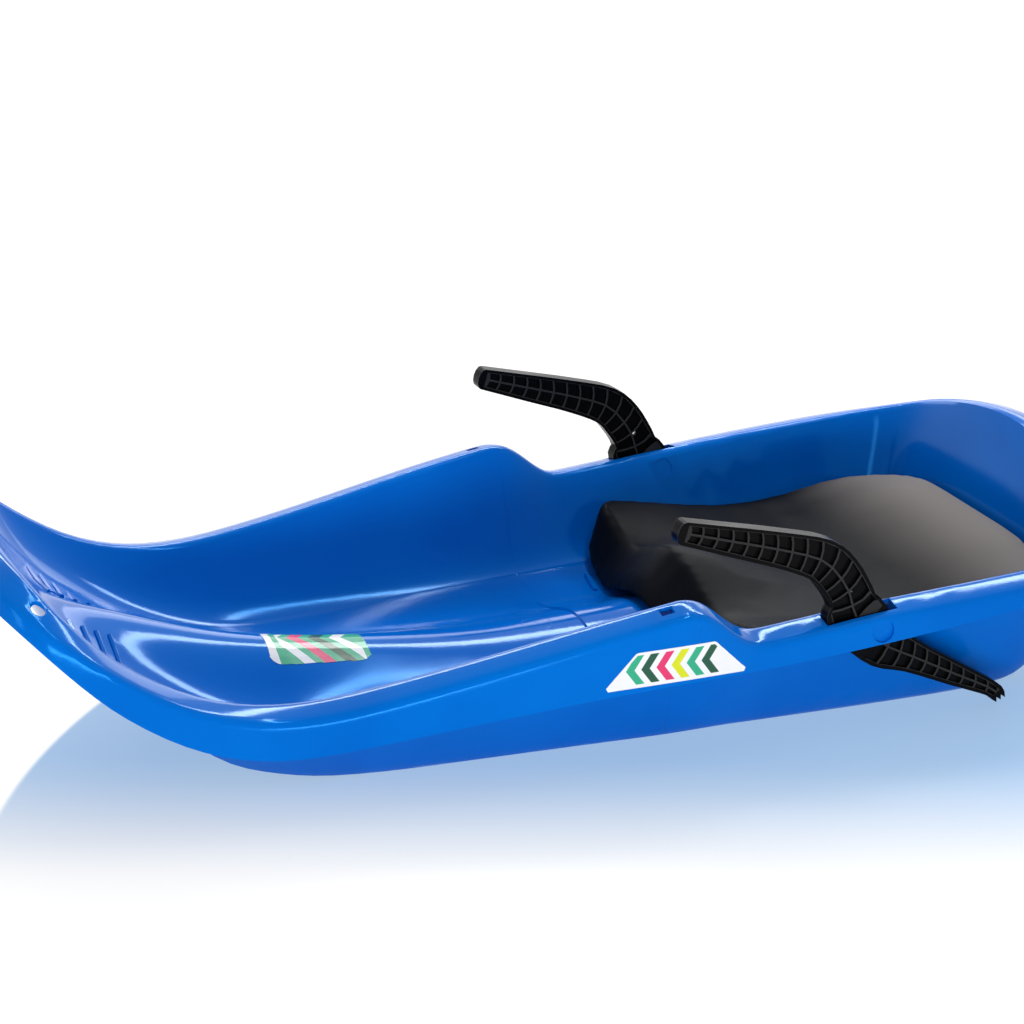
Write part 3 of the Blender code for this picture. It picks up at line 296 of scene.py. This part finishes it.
def cut_film(name, middle, size, turn, cuts):
    """A flat grid of size along its own axes, less what lies beyond each (place, normal)."""
    bpy.ops.object.select_all(action="DESELECT")
    bpy.ops.mesh.primitive_grid_add(x_subdivisions=film_columns, y_subdivisions=film_rows,
                                    size=1.0, location=middle, rotation=turn)
    film = bpy.context.object
    film.name = name
    film.scale = (*size, 1.0)
    bpy.ops.object.transform_apply(location=True, rotation=True, scale=True)
    bpy.ops.object.mode_set(mode="EDIT")
    for spot, normal in cuts:
        bpy.ops.mesh.select_all(action="SELECT")
        bpy.ops.mesh.bisect(plane_co=spot, plane_no=normal, clear_outer=True)
    bpy.ops.object.mode_set(mode="OBJECT")
    return film


def lay_film(film, finish):
    pick_only(film)
    pressed = film.modifiers.new("Pressed on", "SHRINKWRAP")
    pressed.target = tub
    pressed.wrap_method = "NEAREST_SURFACEPOINT"
    pressed.wrap_mode = "OUTSIDE_SURFACE"
    pressed.offset = film_lift
    bpy.ops.object.modifier_apply(modifier="Pressed on")
    body = film.modifiers.new("Thickness", "SOLIDIFY")
    body.thickness = film_thickness
    body.offset = 1.0
    bpy.ops.object.modifier_apply(modifier="Thickness")
    smooth_below(degrees=40)
    dress(film, finish)
    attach(film, "sled")


def arrow_colours(along, across, pitch, sweep, first, last, field, colours):
    """Arrows in a row on a field, from the first to the last, each in the next colour."""
    step = (along + abs(across) * sweep) / pitch
    count = math.floor(step)
    in_row = step.near((first + last) / 2, half=(last - first) / 2, soft=0.01)
    inside = (step - count).near(0.5, arrow_half, arrow_soft) * in_row
    turn = count % float(len(colours))
    paint = colours[0]
    for i, colour in enumerate(colours[1:], 1):
        paint = turn.near(float(i), half=0.3, soft=0.1).between(paint, colour)
    return inside.between(field, paint)


def film_roughness(place):
    return film_dull + place.noise(scale=60.0, detail=2.0) * film_patchy


panel_low, panel_high = 0.0705, 0.0965
panel_rear, panel_front = -0.086, 0.027
panel_slant = 1.0
panel_edge = 0.0022
panel_pitch, panel_sweep = 0.0115, 0.7
panel_y = 0.206
panel_toe_cut, panel_toe_slope = 0.004, 0.5
panel_top_cut, panel_top_slope = 0.001, 0.4
panel_middle_x = (panel_rear + panel_front) / 2
panel_middle_z = (panel_low + panel_high) / 2
panel_length, panel_height = panel_front - panel_rear, panel_high - panel_low

panel_print, shader, place, x, y, z = new_finish("panel_print", Specular_IOR_Level=film_gloss)
from_rear = (x - panel_rear - (z - panel_low) * panel_slant) * diagonal
from_front = (panel_front - x - (z - panel_low) * panel_slant) * diagonal
margin = from_rear.lesser(from_front).lesser(z - panel_low).lesser(panel_high - z)
arrows = arrow_colours(x, z - panel_middle_z, panel_pitch, panel_sweep, first=-5, last=1,
                       field=film_white,
                       colours=(film_teal, film_yellow, film_pink, film_green))
inner = margin.fades(panel_edge, panel_edge + print_soft)
inner.between(film_white, arrows).joins(shader, "Base Color")
film_roughness(place).joins(shader, "Roughness")

for side, sign in (("left", 1), ("right", -1)):
    cuts = []
    for end_x, outward in ((panel_rear, -1), (panel_front, 1)):
        low = Vector((end_x, 0.0, panel_low))
        high = Vector((end_x - outward * panel_slant * panel_height, 0.0, panel_high))
        toe = low - Vector((outward * panel_toe_cut, 0.0, 0.0))
        top = high - Vector((outward * panel_top_cut, 0.0, 0.0))
        cuts += [(low, (outward, 0.0, 1.0 / panel_slant)),
                 (toe, (outward, 0.0, -panel_toe_slope)),
                 (top, (outward * panel_top_slope, 0.0, 1.0))]
    facing = (math.pi / 2, 0.0, math.pi if sign > 0 else 0.0)
    panel = cut_film("skirt_film_" + side, (panel_middle_x, sign * panel_y, panel_middle_z),
                     (panel_length, panel_height), facing, cuts)
    lay_film(panel, panel_print)

badge_low, badge_high = Vector((0.132, -0.016)), Vector((0.210, 0.042))
badge_middle = (badge_low + badge_high) / 2
badge_size = badge_high - badge_low
badge_z = 0.075
badge_corner = 0.010
badge_chamfer = badge_corner * 0.6
badge_edge = 0.003
badge_frame, badge_frame_soft = 0.0045, 0.0003
badge_pitch, badge_sweep = 0.0165, 0.8
corner_cuts = (18, 36, 54, 72)

badge_print, shader, place, x, y, z = new_finish("badge_print", Specular_IOR_Level=film_gloss)
from_end = badge_size.x / 2 - badge_edge - abs(x - badge_middle.x)
from_side = badge_size.y / 2 - badge_edge - abs(y - badge_middle.y)
from_corner = (from_end + from_side - badge_chamfer) * diagonal
margin = from_end.lesser(from_side).lesser(from_corner)
arrows = arrow_colours(x, y, badge_pitch, badge_sweep, first=9, last=13, field=film_teal,
                       colours=(film_white, film_green, film_pink))
framed = margin.fades(badge_frame, badge_frame + badge_frame_soft)
inner = framed.between(film_teal, arrows)
margin.fades(0.0, print_soft).between(film_white, inner).joins(shader, "Base Color")
film_roughness(place).joins(shader, "Roughness")

cuts = []
for across in (-1, 1):
    for along in (-1, 1):
        centre = Vector((badge_middle.x + along * (badge_size.x / 2 - badge_corner),
                         badge_middle.y + across * (badge_size.y / 2 - badge_corner), 0.0))
        for degrees in corner_cuts:
            angle = math.radians(degrees)
            normal = Vector((along * math.cos(angle), across * math.sin(angle), 0.0))
            cuts.append((centre + normal * badge_corner, normal))
badge = cut_film("spine_film", (*badge_middle, badge_z), badge_size, (0.0, 0.0, 0.0), cuts)
lay_film(badge, badge_print)


# The seat. A moulded pad of soft-touch plastic over a firm core, screwed down through the
# floor. It is crowned, with a pommel, two thigh hollows and a rolled edge, and its skin has
# the fine dull grain of a blasted mould. It is near black. A painted sheen pales it
# towards the back, where light from behind falls on it.

seat_dark = (0.001, 0.002, 0.004, 1.0)
# The pale colour below is a painted sheen, not wear.
seat_painted_sheen = (0.25, 0.229, 0.215, 1.0)
seat_dull, seat_patchy = 0.36, 0.14
painted_sheen_from_x, painted_sheen_to_x = -0.29, -0.41
painted_sheen_patchy = 0.02
grain_mm, sag_mm = 0.05, 0.25
seat_voxel = 0.004
seat_softening = 9

soft_skin, shader, place, x, y, z = new_finish("soft_skin", Specular_IOR_Level=0.03)
# Painted sheen: the base colour turns paler towards the back of the seat.
painted_sheen = x.fades(painted_sheen_from_x, painted_sheen_to_x) + place.noise(scale=5.0, detail=4.0) * painted_sheen_patchy
painted_sheen.between(seat_dark, seat_painted_sheen).joins(shader, "Base Color")
patches = place.noise(scale=30.0, detail=3.0)
(seat_dull + patches * seat_patchy).joins(shader, "Roughness")
grain = place.node("TexVoronoi", {"feature": "F1"}, {"Vector": place, "Scale": 900.0})
sag = place.noise(scale=14.0, detail=2.0)
(grain * grain_mm + sag * sag_mm).bumps(shader)

seat_pad = welded_copy("seat", "seat_pad")
seat_pad.data.remesh_voxel_size = seat_voxel
pick_only(seat_pad)
bpy.ops.object.voxel_remesh()
soften = seat_pad.modifiers.new("Soften", "SMOOTH")
soften.factor = 0.5
soften.iterations = seat_softening
bpy.ops.object.modifier_apply(modifier="Soften")
subdivide(seat_pad)
bpy.ops.object.shade_smooth()
dress(seat_pad, soft_skin)
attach(seat_pad, "sled")
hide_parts("seat")


# The brake levers. Black glass-filled plastic, moulded as a rim and a web with curved ribs,
# each on its steel pin. The tops of the ribs and the edges of the rim are painted paler
# than the pockets between, as painted highlights.

# The pale colour below is a painted highlight.
lever_painted_highlight = (0.050, 0.050, 0.052, 1.0)
lever_black = (0.003, 0.003, 0.0035, 1.0)
lever_dull, lever_patchy = 0.16, 0.14
lever_grain_mm, lever_sag_mm = 0.03, 0.10
lever_y = 0.1876
rib_height, rib_half, rib_soft, rib_painted_highlight = 0.0044, 0.0002, 0.0003, 0.55
rim_height, rim_half, rim_soft, rim_painted_highlight = 0.0054, 0.0001, 0.0001, 0.6

lever_plastic, shader, place, x, y, z = new_finish("lever_plastic", Specular_IOR_Level=0.05)
from_web = abs(abs(y) - lever_y)
rib_tops = from_web.near(rib_height, rib_half, rib_soft)
rim_edges = from_web.near(rim_height, rim_half, rim_soft)
# Painted highlights on the rib tops and the rim edges.
painted_highlights = rib_tops * rib_painted_highlight + rim_edges * rim_painted_highlight
painted_highlights.between(lever_black, lever_painted_highlight).joins(shader, "Base Color")
handled = place.noise(scale=40.0, detail=3.0)
(lever_dull + handled * lever_patchy).joins(shader, "Roughness")
grain = place.noise(scale=300.0, detail=2.0)
sag = place.noise(scale=25.0, detail=1.0)
(grain * lever_grain_mm + sag * lever_sag_mm).bumps(shader)

for side in ("left", "right"):
    lever = welded_copy("brake_lever_" + side, "ribbed_lever_" + side, flatness=0.3)
    pick_only(lever)
    smooth_below(degrees=40)
    dress(lever, lever_plastic)
    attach(lever, side + "_brake")
    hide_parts("brake_lever_" + side)


# Pins, screws and washers. Zinc-plated steel, turned and rolled, with the faint uneven
# sheen of the plating. The pins lie in the bearing blocks, the screws hold the seat.

zinc_light = (0.62, 0.62, 0.63, 1.0)
zinc_dark = (0.42, 0.42, 0.43, 1.0)
zinc_dull, zinc_patchy = 0.28, 0.16
plating_mm = 0.02

zinc, shader, place, x, y, z = new_finish("zinc", Metallic=1.0)
plating = place.noise(scale=260.0, detail=3.0)
plating.fades(start=0.35, end=0.65).between(zinc_dark, zinc_light).joins(shader, "Base Color")
(zinc_dull + plating * zinc_patchy).joins(shader, "Roughness")
(plating * plating_mm).bumps(shader)

for name, node in nodes.items():
    if name.startswith(("brake_pin", "seat_screw", "seat_washer")):
        for slot in node.material_slots:
            slot.material = zinc


# The place. A pale floor and a bright surround under even studio light. The lamps are long
# and narrow, so that the tub's rim and hollows show thin highlights. Inside a disc beside
# the tub the floor carries a painted blue reflection and shade of the tub, which turns
# white towards the camera.

white = (1.0, 1.0, 1.0, 1.0)
black = (0.0, 0.0, 0.0, 1.0)
# The blue below is a painted reflection and shade of the tub.
painted_tub_reflection = (0.40, 0.59, 0.84, 1.0)
floor_white = (0.92, 0.93, 0.95, 1.0)
floor_size = 30.0
disc_x, disc_y = -0.127, 0.369
disc_radius, disc_soft = 0.630, 0.006
beside_from_x, beside_to_x = -0.72, -0.50
beside_from_y, beside_to_y = -0.30, -0.10
camera_way_x, camera_way_y = 0.39, 0.92
painted_reflection_from, painted_reflection_to = 0.36, 0.14
shadow_from, shadow_to = 0.42, 0.25
shadow_share = 0.22
world_light = 0.26


def seen_directly(tree):
    """1 for rays from the camera or from a mirror or glass, 0 for light on its way."""
    camera_ray, glossy_ray, transmission_ray = (
        Wire(tree).node("LightPath", {}, {}, output=name)
        for name in ("Is Camera Ray", "Is Glossy Ray", "Is Transmission Ray"))
    return (camera_ray + glossy_ray + transmission_ray).fades(0.0, 1.0)


floor_paint, shader, place, x, y, z = new_finish(
    "floor_paint", Roughness=0.5, Specular_IOR_Level=0.2, Emission_Strength=1.0)
to_camera = y * camera_way_y + x * camera_way_x
from_middle = ((x - disc_x) ** 2.0 + (y - disc_y) ** 2.0) ** 0.5
in_disc = from_middle.fades(disc_radius, disc_radius - disc_soft)
beside = (in_disc * y.fades(beside_from_y, beside_to_y)
          * x.fades(beside_from_x, beside_to_x))
shadowed = beside * to_camera.fades(shadow_from, shadow_to)
# Painted blue reflection and shade of the tub on the floor beside it.
colour = (beside * to_camera.fades(painted_reflection_from, painted_reflection_to)).between(white, painted_tub_reflection)
seen = seen_directly(floor_paint.node_tree)
plain = (1.0 - shadowed * shadow_share) * seen
plain.between(seen.between(floor_white, colour), black).joins(shader, "Base Color")
plain.between(black, colour).joins(shader, "Emission Color")
bpy.ops.object.select_all(action="DESELECT")
bpy.ops.mesh.primitive_plane_add(size=floor_size, location=(0.0, 0.0, 0.0))
floor = bpy.context.object
floor.name = "floor"
dress(floor, floor_paint)

world = bpy.data.worlds.new("studio")
bpy.context.scene.world = world
world.use_nodes = True
background = world.node_tree.nodes["Background"]
background.inputs["Color"].default_value = white
seen = seen_directly(world.node_tree)
(world_light + seen * (1.0 - world_light)).joins(background, "Strength")


def add_lamp(name, spot, target, width, depth, glow):
    """A flat lamp whose face shines glow times as bright as a white wall."""
    lamp = bpy.data.objects.new(name, bpy.data.lights.new(name, "AREA"))
    lamp.data.shape = "RECTANGLE"
    lamp.data.size = width
    lamp.data.size_y = depth
    lamp.data.energy = glow * math.pi * width * depth
    lamp.location = spot
    lamp.rotation_euler = (Vector(target) - Vector(spot)).to_track_quat("-Z", "Y").to_euler()
    lamp.visible_camera = False
    bpy.context.scene.collection.objects.link(lamp)


add_lamp("behind", (-0.75, -2.4, 0.95), (0.0, 0.0, 0.05), width=3.2, depth=0.8, glow=2.0)
add_lamp("high", (-0.87, -1.4, 1.75), (0.0, 0.0, 0.0), width=2.6, depth=0.24, glow=21.0)
add_lamp("overhead", (-0.7, 0.1, 2.1), (0.0, 0.0, 0.0), width=1.8, depth=0.07, glow=38.0)
add_lamp("front", (0.9, 3.0, 0.13), (0.0, 0.0, 0.15), width=3.0, depth=0.25, glow=25.0)
add_lamp("nose", (2.4, 1.0, 0.9), (0.0, 0.0, 0.1), width=0.35, depth=1.2, glow=6.0)


# The camera stands at the sled's left front, looking along it, with a long lens.

camera_spot = (0.7551, 1.8033, 0.8717)
camera_tilt, camera_heading = 69.28, 157.64
lens_mm, sensor_mm = 97.2, 36.0

camera_data = bpy.data.cameras.new("camera")
camera_data.lens = lens_mm
camera_data.sensor_width = sensor_mm
camera = bpy.data.objects.new("camera", camera_data)
camera.location = camera_spot
camera.rotation_euler = (math.radians(camera_tilt), 0.0, math.radians(camera_heading))
bpy.context.scene.collection.objects.link(camera)
bpy.context.scene.camera = camera
bpy.context.scene.view_settings.view_transform = "Standard"
